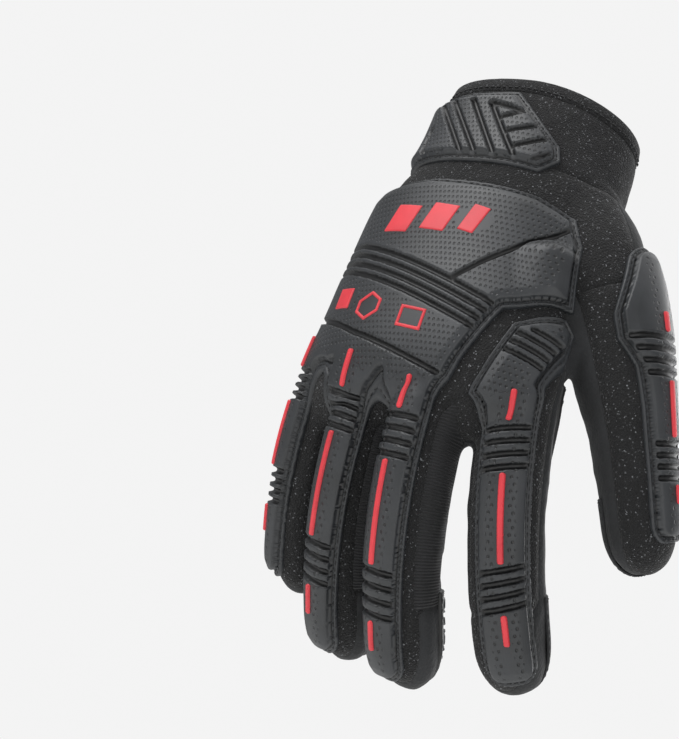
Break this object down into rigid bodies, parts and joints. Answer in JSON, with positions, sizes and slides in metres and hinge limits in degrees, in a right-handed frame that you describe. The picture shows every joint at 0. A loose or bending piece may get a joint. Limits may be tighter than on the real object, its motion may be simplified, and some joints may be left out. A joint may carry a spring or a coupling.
{
  "type": "anti vibration work glove",
  "caption": "Padded right-hand work glove with a stretch back, moulded rubber guards on the back and fingers, gripping pads on the palm and a wrist strap.",
  "frame": {"origin": "centre of the wrist opening", "axes": "+Z out of the wrist opening towards the forearm, fingers towards -Z, the back of the hand towards -Y, the palm towards +Y, the thumb on the +X side"},
  "size_m": [0.1592, 0.0901, 0.2482],
  "materials": {
    "terry": "knitted stretch fabric",
    "suede": "brushed synthetic leather",
    "ribbed": "ribbed stretch fabric",
    "neoprene": "knit-faced neoprene",
    "rubber": "satin moulded",
    "silicone": "matt moulded relief",
    "red_rubber": "satin moulded",
    "webbing": "woven"
  },
  "bodies": {
    "root": {"back_panel": "terry", "thumb_back": "terry", "palm_panel": "suede", "thumb_front": "suede", "tip_patch_index": "suede", "tip_patch_thumb": "suede", "fourchette_index_middle": "ribbed", "fourchette_middle_ring": "ribbed", "fourchette_ring_pinky": "ribbed", "cuff": "neoprene", "cuff_hem": "neoprene", "guard_back": "rubber", "guard_index": "rubber", "guard_thumb": "rubber", "wrist_strap": "rubber", "badge_1": "rubber", "badge_2": "rubber", "badge_3": "rubber", "grip_palm": "silicone", "grip_heel_ulnar": "silicone", "grip_heel_thumb": "silicone", "grip_tip_pinky": "silicone", "grip_tip_ring": "silicone", "grip_tip_middle": "silicone", "bar_index_1": "red_rubber", "bar_index_2": "red_rubber", "bar_index_3": "red_rubber", "bar_middle_1": "red_rubber", "bar_middle_2": "red_rubber", "bar_middle_3": "red_rubber", "bar_ring_1": "red_rubber", "bar_ring_2": "red_rubber", "bar_ring_3": "red_rubber", "bar_pinky_1": "red_rubber", "bar_pinky_2": "red_rubber", "bar_pinky_3": "red_rubber", "bar_thumb_1": "red_rubber", "bar_thumb_2": "red_rubber", "bar_thumb_3": "red_rubber", "emblem_bar_1": "red_rubber", "emblem_bar_2": "red_rubber", "emblem_bar_3": "red_rubber", "pull_tab": "webbing"}
  },
  "joints": []
}
